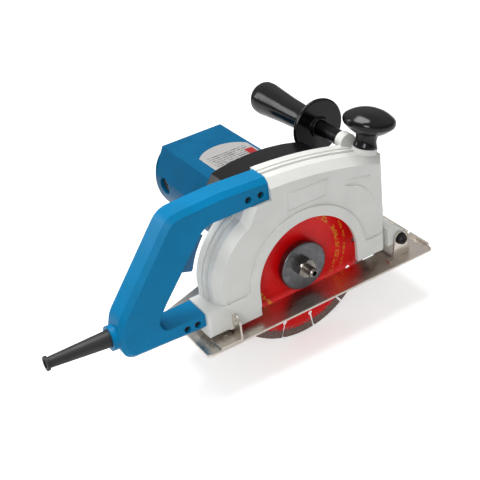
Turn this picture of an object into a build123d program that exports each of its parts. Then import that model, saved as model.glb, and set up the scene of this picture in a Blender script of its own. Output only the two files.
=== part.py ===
from build123d import *
import os
from math import acos, atan2, cos, degrees, pi, radians, sin, sqrt, tan

os.makedirs("parts", exist_ok=True)

# Wall chaser: a hand-held masonry cutter with one diamond blade.
# Millimetres. Origin at the blade's centre on the spindle axis, +X forward to the
# front knob, +Y from the blade to the motor, +Z up.

# Blade and its clamp
blade_radius = 90.0
blade_bore_radius = 11.1
core_thickness = 1.8
segment_thickness = 2.8
segment_depth = 8.5
segment_count = 14
segment_first_angle = 278.2
rim_slot_width = 2.2
keyhole_radius = 2.6
keyhole_reach = 9.0
inner_flange_radius = 24.0
outer_flange_radius = 26.7
outer_flange_depth = 7.6
outer_flange_standoff = 5.5
nut_across_flats = 19.0
nut_height = 8.0
stub_radius = 5.0
stub_tip_y = -32.0
socket_radius, socket_depth = 2.8, 4.0

# Shafts and gears: blade spindle, layshaft and armature, all along Y
module = 1.5
spindle_teeth, lay_pinion_teeth = 32, 14
lay_gear_teeth, armature_teeth = 31, 11
addendum, dedendum = 0.85 * module, 1.1 * module
backlash = 0.22
motor_x, motor_z = -14.0, 50.0
spindle_shaft_radius = 6.0
lay_shaft_radius = 4.0
armature_shaft_radius = 5.0
armature_tail_radius = 4.0
running_clearance = 0.03
gear_room = 0.7
slow_gear_y, slow_gear_width = 17.5, 8.0
fast_gear_y, fast_gear_width = 27.5, 6.5

# Housings
case_near_y, case_far_y = -24.0, 12.0
case_wall = 4.0
case_slope = 10.0
case_band_y, case_band_step = -4.0, 2.0
case_groove_depth = 1.2
box_corner_radius = 3.5
case_left, case_right = -120.6, 105.0
case_shoulder_x, ledge_z = -109.0, 3.5
case_box_bottom, case_front_bottom = -26.0, -16.0
case_top_left, case_top_mid, case_top_right = (-34.0, 117.5), (36.0, 110.3), (105.0, 92.0)
notch_z = 94.5
arch_radius = 60.0
arch_rim_radius = 71.0
panel_recess = 2.0
panel_corner_radius = 5.0
gear_housing_back_y = 45.0
gear_housing_wall = 4.0
housing_screw_places = [(-61.5, 86), (41, 96), (-39, -9), (39, -10)]
motor_end_y = 170.0
motor_wall = 3.0
motor_radius = 50.0
motor_top_z, motor_top_half = 88.5, 37.0
motor_fold_x, motor_fold_z = 50.5, 60.0

# Handle
handle_near_y, handle_mid_y, handle_far_y = -18.0, -3.0, 12.0
handle_wall = 3.0
handle_edge = 5.0
handle_knee, knee_radius = (-140.0, 117.4), 24.0
handle_heel, heel_radius = (-206.0, -13.5), 13.0
handle_screw_radius = 2.0
handle_screw_places = [(-57, 103), (-43, 103), (-129.5, -7), (-141, -7)]
screw_recess_radius = 3.6
trigger_half_width = 8.0
trigger_gap = 0.6
guard_root, guard_tip = (-198.0, 10.3), (-279.0, 15.0)
cord_bore_radius = 4.2

# Base
sole_left, sole_right = -133.0, 149.0
sole_near, sole_far = -38.5, 75.0
sole_thickness = 2.5
sole_top = -32.2
lip_height = 4.0
blade_slot_half = 6.0
blade_slot_margin = 6.0
pivot_x, pivot_z = 115.0, -10.0
pivot_radius = 4.0
bracket_thickness = 2.0
stay_radius = 205.0
stay_half_width = 8.0
stay_thickness = 3.0
stay_travel = 16.0
depth_bolt_radius = 3.0
depth_bolt_angle = 180.5
depth_bolt_place = (
    pivot_x + stay_radius * cos(radians(depth_bolt_angle)),
    pivot_z + stay_radius * sin(radians(depth_bolt_angle)),
)

# Knob and side handle
knob_base = (91.0, -5.0, 100.0)
knob_boss_radius = 13.0
knob_radius, knob_neck_radius = 27.0, 12.2
knob_rim, knob_top = 27.0, 40.0
knob_lean = 15.0
side_x, side_z = 80.0, 103.4
side_boss_y = 7.6
side_rod_radius = 8.0
side_stud_radius = 5.0
hand_guard_y, hand_guard_radius = 58.0, 30.6
grip_end_y = 168.0

spindle_axis = (0.0, 0.0)
motor_axis = (motor_x, motor_z)


def side(y):
    """The plane of the side view at a given y: local x is X, local y is Z, facing -Y."""
    return Plane.XZ.offset(-y)


def plate_from(outline, y_from, y_to):
    """A closed side-view outline of points made solid from y_from to y_to."""
    with BuildPart() as piece:
        with BuildSketch(side(y_to)):
            with BuildLine():
                Polyline(*outline, close=True)
            make_face()
        extrude(amount=y_to - y_from)
    return piece.part


def turned(centre, outline):
    """A turned piece on a cross axis; its outline is a list of (radius, y)."""
    x, z = centre
    with BuildPart() as piece:
        with BuildSketch(Plane((x, 0, z), x_dir=(1, 0, 0), z_dir=(0, 0, 1))):
            with BuildLine():
                Polyline(*outline, close=True)
            make_face()
        revolve(axis=Axis((x, 0, z), (0, 1, 0)))
    return piece.part


def ring(centre, inner, outer, y_from, y_to):
    """A plain ring or, with no inner radius, a plain disc on a cross axis."""
    return turned(centre, [(inner, y_from), (outer, y_from), (outer, y_to), (inner, y_to)])


def along(start, direction):
    """A plane at a start point that faces along a direction."""
    return Plane(origin=start, z_dir=direction)


def rod(start, direction, radius, length, bore=0.0):
    """A round rod or tube from a start point along a direction."""
    with BuildPart() as piece:
        with BuildSketch(along(start, direction)):
            Circle(radius)
            if bore:
                Circle(bore, mode=Mode.SUBTRACT)
        extrude(amount=length)
    return piece.part


def coil(start, direction, radius, wire, length, turns):
    """A helical spring of round wire."""
    with BuildPart() as piece:
        with BuildLine():
            wire_path = Helix(length / turns, length, radius)
        with BuildSketch(Plane(origin=wire_path @ 0, z_dir=wire_path % 0)):
            Circle(wire)
        sweep(path=wire_path)
    return along(start, direction).location * piece.part


def involute(base, radius):
    """The polar angle that an involute from a base circle has turned at a radius."""
    pressure = acos(min(1.0, base / radius))
    return tan(pressure) - pressure


def gear(centre, teeth, y_from, width, tooth_angle, bore=0.0):
    """A spur gear with involute flanks and one tooth at a given angle in the side view."""
    pitch = module * teeth / 2
    base = pitch * cos(radians(20))
    root, tip = pitch - dedendum, pitch + addendum
    half = (pi * module / 2 - backlash) / 2 / pitch + involute(base, pitch)
    start = max(root, base)
    radii = [start + (tip - start) * step / 4 for step in range(5)]
    flank = [(r * cos(half - involute(base, r)), r * sin(half - involute(base, r))) for r in radii]
    foot = (root * 0.97 * cos(half), root * 0.97 * sin(half))
    upper = [foot] + flank
    lower = [(x, -y) for x, y in reversed(upper)]
    x, z = centre
    plane = Plane((x, y_from + width, z), x_dir=(1, 0, 0), z_dir=(0, -1, 0))
    with BuildPart() as piece:
        with BuildSketch(plane):
            Circle(root)
            with PolarLocations(0, teeth, start_angle=tooth_angle):
                Polygon(*upper, *lower, align=None)
            if bore:
                Circle(bore, mode=Mode.SUBTRACT)
        extrude(amount=width)
    return piece.part


def ball_bearing(centre, bore, outer, y_from, width, balls):
    """Inner ring, outer ring and balls, on a cross axis."""
    x, z = centre
    pitch = (bore + outer) / 2
    ball = (outer - bore) * 0.29
    groove = ball + 0.05
    middle = y_from + width / 2
    plane = Plane((x, 0, z), x_dir=(1, 0, 0), z_dir=(0, 0, 1))
    with BuildPart() as piece:
        with BuildSketch(plane):
            for low, high in ((bore, pitch - ball * 0.55), (pitch + ball * 0.55, outer)):
                with Locations(((low + high) / 2, middle)):
                    Rectangle(high - low, width)
            with Locations((pitch, middle)):
                Circle(groove, mode=Mode.SUBTRACT)
        revolve(axis=Axis((x, 0, z), (0, 1, 0)))
        with Locations(Plane((x, middle, z), x_dir=(1, 0, 0), z_dir=(0, -1, 0))):
            with PolarLocations(pitch, balls):
                Sphere(ball)
    return piece.part


def keep(piece, name):
    """Label a finished piece and write it."""
    piece.part.label = name
    export_step(piece.part, f"parts/{name}.step")


# The layshaft stands where both gear pairs mesh: two centre distances from two known axes
slow_distance = module * (spindle_teeth + lay_pinion_teeth) / 2
fast_distance = module * (lay_gear_teeth + armature_teeth) / 2
axes_distance = sqrt(motor_x**2 + motor_z**2)
motor_direction = atan2(motor_z, motor_x)
lay_turn = acos(
    (slow_distance**2 + axes_distance**2 - fast_distance**2) / (2 * slow_distance * axes_distance)
)
lay_direction = motor_direction - lay_turn
lay_axis = (slow_distance * cos(lay_direction), slow_distance * sin(lay_direction))
fast_direction = atan2(motor_z - lay_axis[1], motor_x - lay_axis[0])

# ---------------------------------------------------------------- blade and spindle
segment_inner = blade_radius - segment_depth

with BuildPart() as blade_core:
    with BuildSketch(side(core_thickness / 2)):
        Circle(segment_inner)
        Circle(blade_bore_radius, mode=Mode.SUBTRACT)
        with PolarLocations(segment_inner - keyhole_reach / 2, segment_count, segment_first_angle):
            Rectangle(keyhole_reach + 1, rim_slot_width, mode=Mode.SUBTRACT)
        with PolarLocations(segment_inner - keyhole_reach, segment_count, segment_first_angle):
            Circle(keyhole_radius, mode=Mode.SUBTRACT)
    extrude(amount=core_thickness)
keep(blade_core, "blade_core")

with BuildPart() as blade_segments:
    with BuildSketch(side(segment_thickness / 2)):
        Circle(blade_radius)
        Circle(segment_inner, mode=Mode.SUBTRACT)
        with PolarLocations(segment_inner + segment_depth / 2, segment_count, segment_first_angle):
            Rectangle(segment_depth + 3, rim_slot_width, mode=Mode.SUBTRACT)
    extrude(amount=segment_thickness)
keep(blade_segments, "blade_segments")

hub_front = -core_thickness / 2 + 0.2
with BuildPart() as inner_flange:
    outline = [(spindle_shaft_radius, hub_front), (blade_bore_radius, hub_front)]
    outline += [(blade_bore_radius, core_thickness / 2), (inner_flange_radius, core_thickness / 2)]
    outline += [(inner_flange_radius, 2.8), (14, 5), (spindle_shaft_radius, 5)]
    add(turned(spindle_axis, outline))
keep(inner_flange, "inner_flange")

flange_back = -core_thickness / 2
flange_rim_back = flange_back - outer_flange_standoff
flange_rim = flange_rim_back - outer_flange_depth
relief_radius = blade_bore_radius + 2
nut_seat = flange_rim + 1.3
with BuildPart() as outer_flange:
    outline = [(stub_radius, nut_seat), (14, nut_seat), (outer_flange_radius - 1.2, flange_rim)]
    outline += [(outer_flange_radius, flange_rim + 0.8), (outer_flange_radius, flange_rim_back)]
    outline += [(outer_flange_radius - 7, flange_rim_back), (outer_flange_radius - 7, flange_back)]
    outline += [(relief_radius, flange_back), (relief_radius, -3), (stub_radius, -3)]
    add(turned(spindle_axis, outline))
keep(outer_flange, "outer_flange")

with BuildPart() as arbor_nut:
    with BuildSketch(side(nut_seat)):
        RegularPolygon(nut_across_flats / 2, 6, major_radius=False, rotation=12)
        Circle(stub_radius, mode=Mode.SUBTRACT)
    extrude(amount=nut_height)
    corner = nut_across_flats / sqrt(3)
    blunt = [(0, nut_seat - nut_height), (nut_across_flats / 2, nut_seat - nut_height)]
    blunt += [(corner + 0.6, nut_seat - nut_height + 2.2), (corner + 0.6, nut_seat), (0, nut_seat)]
    add(turned(spindle_axis, blunt), mode=Mode.INTERSECT)
keep(arbor_nut, "arbor_nut")

spindle_end_y = 43.0
with BuildPart() as spindle:
    outline = [(0, stub_tip_y), (stub_radius - 1.6, stub_tip_y), (stub_radius, stub_tip_y + 1.6)]
    outline += [(stub_radius, -2), (spindle_shaft_radius, -2)]
    outline += [(spindle_shaft_radius, 34.5), (stub_radius, 34.5), (stub_radius, spindle_end_y)]
    outline += [(0, spindle_end_y)]
    add(turned(spindle_axis, outline))
    with BuildSketch(side(stub_tip_y)):
        RegularPolygon(socket_radius, 6)
    extrude(amount=-socket_depth, mode=Mode.SUBTRACT)
keep(spindle, "spindle")

with BuildPart() as spindle_gear:
    direction = degrees(lay_direction)
    add(gear(spindle_axis, spindle_teeth, slow_gear_y, slow_gear_width, direction,
             spindle_shaft_radius))
keep(spindle_gear, "spindle_gear")

with BuildPart() as layshaft:
    gap = degrees(lay_direction) + 180 + 180 / lay_pinion_teeth
    add(gear(lay_axis, lay_pinion_teeth, slow_gear_y - 0.5, slow_gear_width + 1, gap))
    add(ring(lay_axis, 0, lay_shaft_radius, 9, 42))
keep(layshaft, "layshaft")

with BuildPart() as layshaft_gear:
    direction = degrees(fast_direction)
    add(gear(lay_axis, lay_gear_teeth, fast_gear_y, fast_gear_width, direction, lay_shaft_radius))
keep(layshaft_gear, "layshaft_gear")

bearings = {
    "spindle_front_bearing": (spindle_axis, spindle_shaft_radius, 16, 6.5, 10, 8),
    "spindle_rear_bearing": (spindle_axis, stub_radius, 13, 35, 8, 8),
    "layshaft_front_bearing": (lay_axis, lay_shaft_radius, 11, 9, 7, 7),
    "layshaft_rear_bearing": (lay_axis, lay_shaft_radius, 11, 35, 7, 7),
    "armature_front_bearing": (motor_axis, armature_shaft_radius, 13, 36, 8, 8),
    "armature_rear_bearing": (motor_axis, armature_tail_radius, 11, 157, 7, 7),
}
for name, (centre, bore, outer, y_from, width, balls) in bearings.items():
    with BuildPart() as bearing:
        add(ball_bearing(centre, bore + running_clearance, outer, y_from, width, balls))
    keep(bearing, name)

# ---------------------------------------------------------------- blade case
low_end = 2 * case_box_bottom
with BuildSketch() as shell_outline:
    with BuildLine():
        Polyline((case_right, low_end), (case_shoulder_x, low_end), (case_shoulder_x, 24))
        ThreePointArc((case_shoulder_x, 24), (-96.5, 58), (-68, 84))
        Polyline((-68, 84), (-54, 108), case_top_left)
        ThreePointArc(case_top_left, case_top_mid, case_top_right)
        Line(case_top_right, (case_right, low_end))
    make_face()
shell_face = shell_outline.sketch.face()
case_depth = case_far_y - case_near_y
slope_y = case_near_y + case_slope


def shell_section(inset, y_from, y_to):
    """The shell's outline, drawn in by an inset, made solid between two y values."""
    with BuildPart() as piece:
        with BuildSketch(side(y_to)):
            add(shell_face)
            if inset:
                offset(amount=-inset, kind=Kind.INTERSECTION)
        extrude(amount=y_to - y_from)
    return piece.part


def bearing_seat(name, wall_y, lip):
    """A bored boss for a bearing: the solid boss and its hollow, as two parts."""
    centre, bore, outer, y_from, width, _ = bearings[name]
    low, high = min(wall_y, y_from - lip), y_from + width
    boss = ring(centre, 0, outer + 3, low, high)
    return boss, ring(centre, 0, outer, y_from, high)


groove_low, groove_high = case_band_y + 4, case_band_y + 6.5
with BuildPart() as case_groove:
    add(shell_section(0, groove_low, groove_high))
    add(shell_section(case_groove_depth, groove_low, groove_high), mode=Mode.SUBTRACT)

with BuildPart() as case_blank:
    add(shell_section(0, case_band_y, case_far_y))
    add(case_groove.part, mode=Mode.SUBTRACT)
    add(shell_section(case_band_step, slope_y, case_band_y))
    with BuildSketch(side(slope_y)):
        add(shell_face)
        offset(amount=-case_band_step, kind=Kind.INTERSECTION)
    extrude(amount=case_slope, taper=45)

# box at the rear that carries the lower end of the handle
box_right = -blade_radius - 7
with BuildPart() as rear_box:
    with BuildSketch(side(case_far_y)):
        with Locations(((case_left + box_right) / 2, (case_box_bottom + ledge_z) / 2)):
            Rectangle(box_right - case_left, ledge_z - case_box_bottom)
    extrude(amount=case_depth)
    near_edges = rear_box.faces().sort_by(Axis.Y)[0].edges()
    fillet(near_edges.filter_by(lambda e: e.center().X < box_right - 1), box_corner_radius)

notch_x = case_top_left[0]
# the hollow stops short of the notch for the handle, so that the notch has walls
with BuildPart() as case_hollow:
    add(shell_section(case_wall + case_band_step, slope_y + 2, case_far_y - case_wall))
    add(shell_section(case_slope + 4, case_near_y + case_wall, slope_y + 2))
    kept = [(-200, notch_z - case_wall), (notch_x + case_wall, notch_z - case_wall)]
    kept += [(notch_x + case_wall, 200), (-200, 200)]
    add(plate_from(kept, case_near_y - 1, case_far_y + 1), mode=Mode.SUBTRACT)

with BuildPart() as blade_case:
    add(case_blank.part)
    add(case_hollow.part, mode=Mode.SUBTRACT)
    add(rear_box.part)
    # open below: the rear stands lower than the front
    low_cut = [(-300, low_end), (300, low_end), (300, case_front_bottom)]
    low_cut += [(-arch_radius - 1, case_front_bottom), (-arch_radius - 1, case_box_bottom)]
    low_cut += [(-300, case_box_bottom)]
    add(plate_from(low_cut, case_near_y - 1, case_far_y + 1), mode=Mode.SUBTRACT)
    # notch for the upper end of the handle, and the arch in the near wall
    notch = [(-200, notch_z), (case_top_left[0], notch_z), (case_top_left[0], 200), (-200, 200)]
    add(plate_from(notch, case_near_y - 1, case_far_y + 1), mode=Mode.SUBTRACT)
    with BuildSketch(side(0)):
        Circle(arch_radius)
        with Locations((0, case_box_bottom)):
            Rectangle(2 * arch_radius, -2 * case_box_bottom)
    extrude(amount=-case_near_y + 1, mode=Mode.SUBTRACT)
    # the flat panel lies a little below the rim round the arch
    with BuildSketch(side(case_near_y + panel_recess)) as panel:
        add(shell_face)
        offset(amount=panel_recess - case_slope - case_band_step + 0.3, kind=Kind.INTERSECTION)
        Circle(arch_rim_radius, mode=Mode.SUBTRACT)
        with Locations((0, case_box_bottom)):
            Rectangle(400, 2 * (ledge_z - case_box_bottom), mode=Mode.SUBTRACT)
        fillet(panel.vertices().group_by(Axis.Y)[0], panel_corner_radius)
    extrude(amount=panel_recess + 1, mode=Mode.SUBTRACT)
    # seats of the spindle and layshaft bearings
    for name in ("spindle_front_bearing", "layshaft_front_bearing"):
        boss, hollow = bearing_seat(name, case_far_y - case_wall, 1)
        add(boss)
        add(hollow, mode=Mode.SUBTRACT)
    add(ring(spindle_axis, 0, spindle_shaft_radius + 3, 0, 12), mode=Mode.SUBTRACT)
    # pivot lug of the sole, side handle boss, knob boss and the two handle tongues
    lug = [(case_right - 4, case_front_bottom), (case_right - 4, 4), (case_right + 4, 4)]
    lug += [(pivot_x + 6, pivot_z + 6), (pivot_x + 6, pivot_z - 6)]
    add(plate_from(lug, case_near_y + 1, case_far_y - 1))
    add(ring((pivot_x, pivot_z), 0, 9, case_near_y + 1, case_far_y - 1))
    add(ring((pivot_x, pivot_z), 0, pivot_radius + running_clearance, -40, 40), mode=Mode.SUBTRACT)
    add(ring((side_x, side_z), 0, 9.5, side_boss_y, side_boss_y + 10.5))
    add(ring((side_x, side_z), 0, side_stud_radius, side_boss_y + 1, 40), mode=Mode.SUBTRACT)
    knob_up = (sin(radians(knob_lean)), 0, cos(radians(knob_lean)))
    knob_down = tuple(-v for v in knob_up)
    add(rod(knob_base, knob_down, knob_boss_radius, 6))
    add(rod(knob_base, knob_down, 7, 15))
    add(rod(knob_base, knob_down, 4, 14), mode=Mode.SUBTRACT)
    tongue_low, tongue_high = handle_mid_y - 4, handle_mid_y + 4
    top_tongue = [(-66, 98), (case_top_left[0] + 3, 98), (case_top_left[0] + 3, 109), (-66, 109)]
    low_tongue = [(-148, -13), (case_left + 3, -13), (case_left + 3, -2), (-148, -2)]
    add(plate_from(top_tongue, tongue_low, tongue_high))
    add(plate_from(low_tongue, tongue_low, tongue_high))
    for place in handle_screw_places:
        add(ring(place, 0, handle_screw_radius + 0.1, -14, 10), mode=Mode.SUBTRACT)
    # tapped holes for the gear housing's screws and the depth bolt
    for place in housing_screw_places:
        add(ring(place, 0, 5, case_far_y - case_wall - 3, case_far_y))
        add(ring(place, 0, 2.5, 0, case_far_y + 5), mode=Mode.SUBTRACT)
    add(ring(depth_bolt_place, 0, 9, case_far_y - case_wall - 3, case_far_y))
    add(ring(depth_bolt_place, 0, depth_bolt_radius, 0, case_far_y + 5), mode=Mode.SUBTRACT)
keep(blade_case, "blade_case")

# ---------------------------------------------------------------- gear housing
with BuildSketch() as housing_outline:
    with BuildLine():
        Polyline((50, 103), (48, -8), (30, -28.5), (-29, -28.5), (-50, -8), (-70, 52), (-75, 88))
        Line((-75, 88), (-60, 109))
        ThreePointArc((-60, 109), (-8, 113.5), (50, 103))
    make_face()
    fillet(housing_outline.vertices(), 7)
housing_face = housing_outline.sketch.face()

with BuildPart() as gear_housing:
    with BuildSketch(side(gear_housing_back_y)):
        add(housing_face)
    extrude(amount=gear_housing_back_y - case_far_y)
    with BuildSketch(side(gear_housing_back_y - gear_housing_wall)):
        add(housing_face)
        offset(amount=-gear_housing_wall)
    extrude(amount=gear_housing_back_y - case_far_y, mode=Mode.SUBTRACT)
    fillet(gear_housing.edges().filter_by(lambda e: abs(e.center().Y - gear_housing_back_y) < 0.1)
           .filter_by(lambda e: e.center().Z > -40), 3)
    for name in ("spindle_rear_bearing", "layshaft_rear_bearing", "armature_front_bearing"):
        centre, bore, outer, y_from, width, _ = bearings[name]
        add(ring(centre, 0, outer + 3, y_from, gear_housing_back_y))
    for name in ("spindle_rear_bearing", "layshaft_rear_bearing", "armature_front_bearing"):
        centre, bore, outer, y_from, width, _ = bearings[name]
        add(ring(centre, 0, outer, y_from, y_from + width), mode=Mode.SUBTRACT)
    add(ring(motor_axis, 0, armature_shaft_radius + 2, 30, 60), mode=Mode.SUBTRACT)
    for place in housing_screw_places:
        add(ring(place, 0, 5, case_far_y, gear_housing_back_y))
        add(ring(place, 0, 2.5, 0, 60), mode=Mode.SUBTRACT)
    # clear of the bearing seats that stand out of the blade case
    for name in ("spindle_front_bearing", "layshaft_front_bearing"):
        centre, bore, outer, y_from, width, _ = bearings[name]
        add(ring(centre, 0, outer + 3.2, y_from, y_from + width + 0.2), mode=Mode.SUBTRACT)
    # a shallow pocket in the lowest wall, where the tips of the spindle gear come close
    gear_tip = module * spindle_teeth / 2 + addendum
    add(ring(spindle_axis, 0, gear_tip + gear_room, slow_gear_y - 1, slow_gear_y + slow_gear_width + 1),
        mode=Mode.SUBTRACT)
keep(gear_housing, "gear_housing")

with BuildPart() as gear_housing_screws:
    for place in housing_screw_places:
        add(ring(place, 0, 2.5, case_far_y - case_wall, gear_housing_back_y))
        add(turned(place, [(0, gear_housing_back_y), (4.5, gear_housing_back_y),
                           (4.5, gear_housing_back_y + 3.4), (3.9, gear_housing_back_y + 4),
                           (0, gear_housing_back_y + 4)]))
        with BuildSketch(side(gear_housing_back_y + 5)):
            with Locations(place):
                RegularPolygon(2.4, 6)
        extrude(amount=3.2, mode=Mode.SUBTRACT)
keep(gear_housing_screws, "gear_housing_screws")

# ---------------------------------------------------------------- motor
with BuildSketch() as motor_outline:
    with BuildLine():
        top = motor_top_z
        Polyline((motor_x - motor_fold_x, motor_fold_z), (motor_x - motor_top_half, top),
                 (motor_x + motor_top_half, top), (motor_x + motor_fold_x, motor_fold_z))
        ThreePointArc((motor_x + motor_fold_x, motor_fold_z), (motor_x, motor_z - motor_radius),
                      (motor_x - motor_fold_x, motor_fold_z))
    make_face()
motor_face = motor_outline.sketch.face()
brush_y, brush_z = 148.0, 52.0
cap_radius = 8.0
cap_seat = motor_radius - 6
field_start, field_length = 68.0, 52.0
field_outer, field_inner, field_bore = 38.5, 31.5, 24.2
field_half_height = 35.2
stay_screw_ring, motor_screw_radius = 43.6, 2.0
motor_screw_angles = (35, 145, 215, 325)
motor_screw_places = [
    (motor_x + stay_screw_ring * cos(radians(a)), motor_z + stay_screw_ring * sin(radians(a)))
    for a in motor_screw_angles
]

with BuildPart() as motor_housing:
    with BuildSketch(side(motor_end_y)):
        add(motor_face)
    extrude(amount=motor_end_y - gear_housing_back_y)
    fillet(motor_housing.faces().sort_by(Axis.Y)[-1].edges(), 2.5)
    with BuildSketch(side(motor_end_y + 1)):
        add(motor_face)
        offset(amount=-motor_wall, kind=Kind.INTERSECTION)
    extrude(amount=motor_end_y - gear_housing_back_y + 2, mode=Mode.SUBTRACT)
    # ribs that hold the field core
    with BuildSketch(side(field_start + field_length)):
        with Locations(motor_axis):
            with PolarLocations(field_outer + 5, 2):
                Rectangle(12, 12)
            Circle(field_outer, mode=Mode.SUBTRACT)
    extrude(amount=field_length)
    with BuildSketch(side(field_start + field_length)):
        for sign in (-1, 1):
            with Locations((motor_x + sign * 16, motor_z - field_half_height - 5.5)):
                Rectangle(5, 11)
    extrude(amount=field_length)
    # sockets for the brush holders, one each side
    for sign in (-1, 1):
        start = (motor_x + sign * (motor_radius + 4), brush_y, brush_z)
        inward = (-sign, 0, 0)
        add(rod((motor_x + sign * (motor_radius - 1), brush_y, brush_z), inward, cap_radius + 3, 10))
        add(rod(start, inward, cap_radius + 1.5, 8), mode=Mode.SUBTRACT)
        add(rod(start, inward, cap_radius, 30), mode=Mode.SUBTRACT)
keep(motor_housing, "motor_housing")

with BuildPart() as motor_end_cover:
    with BuildSketch(side(motor_end_y - 1)):
        add(motor_face)
        offset(amount=-motor_wall - 0.15, kind=Kind.INTERSECTION)
    extrude(amount=3)
    seat_y = bearings["armature_rear_bearing"][3]
    add(ring(motor_axis, 0, 14, seat_y, motor_end_y - 3.5))
    add(ring(motor_axis, 0, 11, seat_y - 1, seat_y + 7), mode=Mode.SUBTRACT)
    with BuildSketch(side(motor_end_y)):
        with Locations(motor_axis):
            for offset_z in range(-28, 29, 8):
                reach = sqrt(36**2 - offset_z**2)
                if abs(offset_z) < 14:
                    for sign in (-1, 1):
                        with Locations((sign * (reach + 17) / 2, offset_z)):
                            SlotOverall(reach - 17, 3.4)
                else:
                    with Locations((0, offset_z)):
                        SlotOverall(2 * reach, 3.4)
    extrude(amount=8, mode=Mode.SUBTRACT)
    for place in motor_screw_places:
        add(ring(place, 0, motor_screw_radius, 150, 180), mode=Mode.SUBTRACT)
keep(motor_end_cover, "motor_end_cover")

with BuildPart() as motor_screws:
    for place in motor_screw_places:
        add(ring(place, 0, motor_screw_radius, gear_housing_back_y, motor_end_y - 1))
        add(ring(place, 0, 3.6, motor_end_y - 1, motor_end_y + 1.6))
        with BuildSketch(side(motor_end_y + 2)):
            with Locations(place):
                Rectangle(5, 0.9)
                Rectangle(0.9, 5)
        extrude(amount=1.8, mode=Mode.SUBTRACT)
keep(motor_screws, "motor_screws")

label_thickness = 0.4
with BuildPart() as rating_label:
    with BuildSketch(Plane.XY.offset(motor_top_z)):
        with BuildLine():
            Polyline((motor_x - 23, 112), (motor_x - 23, 62), (motor_x + 34, 62), (motor_x + 34, 108))
            ThreePointArc((motor_x + 34, 108), (motor_x + 12, 124), (motor_x - 23, 112))
        make_face()
    extrude(amount=label_thickness)
keep(rating_label, "rating_label")

commutator_y, commutator_length = 139.0, 16.0
with BuildPart() as armature_shaft:
    gap = degrees(fast_direction) + 180 + 180 / armature_teeth
    add(gear(motor_axis, armature_teeth, fast_gear_y - 0.5, fast_gear_width + 1, gap))
    outline = [(0, 30), (armature_shaft_radius, 30), (armature_shaft_radius, 155)]
    outline += [(armature_tail_radius, 155), (armature_tail_radius, 163.5), (0, 163.5)]
    add(turned(motor_axis, outline))
keep(armature_shaft, "armature_shaft")

core_radius, core_slots = 23.4, 12
with BuildPart() as armature_core:
    with BuildSketch(side(field_start + field_length)):
        with Locations(motor_axis):
            Circle(core_radius)
            Circle(armature_shaft_radius, mode=Mode.SUBTRACT)
            with PolarLocations(core_radius - 5, core_slots):
                Rectangle(6.5, 4, mode=Mode.SUBTRACT)
            with PolarLocations(core_radius - 1, core_slots):
                Rectangle(4, 1.6, mode=Mode.SUBTRACT)
    extrude(amount=field_length)
keep(armature_core, "armature_core")

with BuildPart() as armature_windings:
    for start in (field_start - 8, field_start + field_length):
        add(turned(motor_axis, [(armature_shaft_radius, start), (17, start), (20.5, start + 2.5),
                                (20.5, start + 5.5), (17, start + 8), (armature_shaft_radius, start + 8)]))
    with BuildSketch(side(field_start + field_length)):
        with Locations(motor_axis):
            with PolarLocations(core_radius - 5, core_slots):
                Rectangle(6.3, 3.8)
    extrude(amount=field_length)
keep(armature_windings, "armature_windings")

with BuildPart() as commutator:
    end = commutator_y + commutator_length
    outline = [(armature_shaft_radius, commutator_y), (16, commutator_y), (16, commutator_y + 2)]
    outline += [(14, commutator_y + 2), (14, end), (armature_shaft_radius, end)]
    add(turned(motor_axis, outline))
    with BuildSketch(side(end)):
        with Locations(motor_axis):
            with PolarLocations(14.5, 24):
                Rectangle(3.4, 0.6)
    extrude(amount=commutator_length, mode=Mode.SUBTRACT)
keep(commutator, "commutator")

fan_y, fan_depth, fan_radius = 50.0, 8.0, 34.5
with BuildPart() as cooling_fan:
    add(ring(motor_axis, armature_shaft_radius, 12, fan_y, fan_y + fan_depth))
    add(ring(motor_axis, 11, fan_radius, fan_y, fan_y + 1.6))
    with BuildSketch(side(fan_y + fan_depth)):
        with Locations(motor_axis):
            with PolarLocations((11 + fan_radius) / 2, 11):
                Rectangle(fan_radius - 12, 1.8)
    extrude(amount=fan_depth)
keep(cooling_fan, "cooling_fan")

with BuildPart() as fan_baffle:
    with BuildSketch(side(61)):
        add(motor_face)
        offset(amount=-motor_wall, kind=Kind.INTERSECTION)
        with Locations(motor_axis):
            Circle(28, mode=Mode.SUBTRACT)
        with Locations(*motor_screw_places):
            Circle(motor_screw_radius, mode=Mode.SUBTRACT)
    extrude(amount=2)
keep(fan_baffle, "fan_baffle")

with BuildPart() as stator:
    with BuildSketch(side(field_start + field_length)):
        with Locations(motor_axis):
            Circle(field_outer)
            Circle(field_inner, mode=Mode.SUBTRACT)
            for sign in (-1, 1):
                with Locations((0, sign * (field_bore + field_inner) / 2)):
                    Rectangle(38, field_inner - field_bore + 14)
            Circle(field_bore, mode=Mode.SUBTRACT)
            Circle(field_outer, mode=Mode.INTERSECT)
            Rectangle(2 * field_outer, 2 * field_half_height, mode=Mode.INTERSECT)
    extrude(amount=field_length)
keep(stator, "stator")

with BuildPart() as field_coils:
    with BuildSketch(side(field_start + field_length + 7)):
        with Locations(motor_axis):
            Circle(field_inner - 0.2)
            Circle(field_bore + 1, mode=Mode.SUBTRACT)
            Rectangle(39, 100, mode=Mode.SUBTRACT)
    extrude(amount=field_length + 14)
keep(field_coils, "field_coils")

holder_start = 17.0
with BuildPart() as brush_holders:
    for sign in (-1, 1):
        low, high = holder_start, cap_seat - 1
        with Locations((motor_x + sign * (low + high) / 2, brush_y, brush_z)):
            Box(high - low, 10, 8)
            Box(high - low, 8, 6, mode=Mode.SUBTRACT)
        add(rod((motor_x + sign * (cap_seat - 8), brush_y, brush_z), (sign, 0, 0), cap_radius, 7, 5.2))
keep(brush_holders, "brush_holders")

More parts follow.
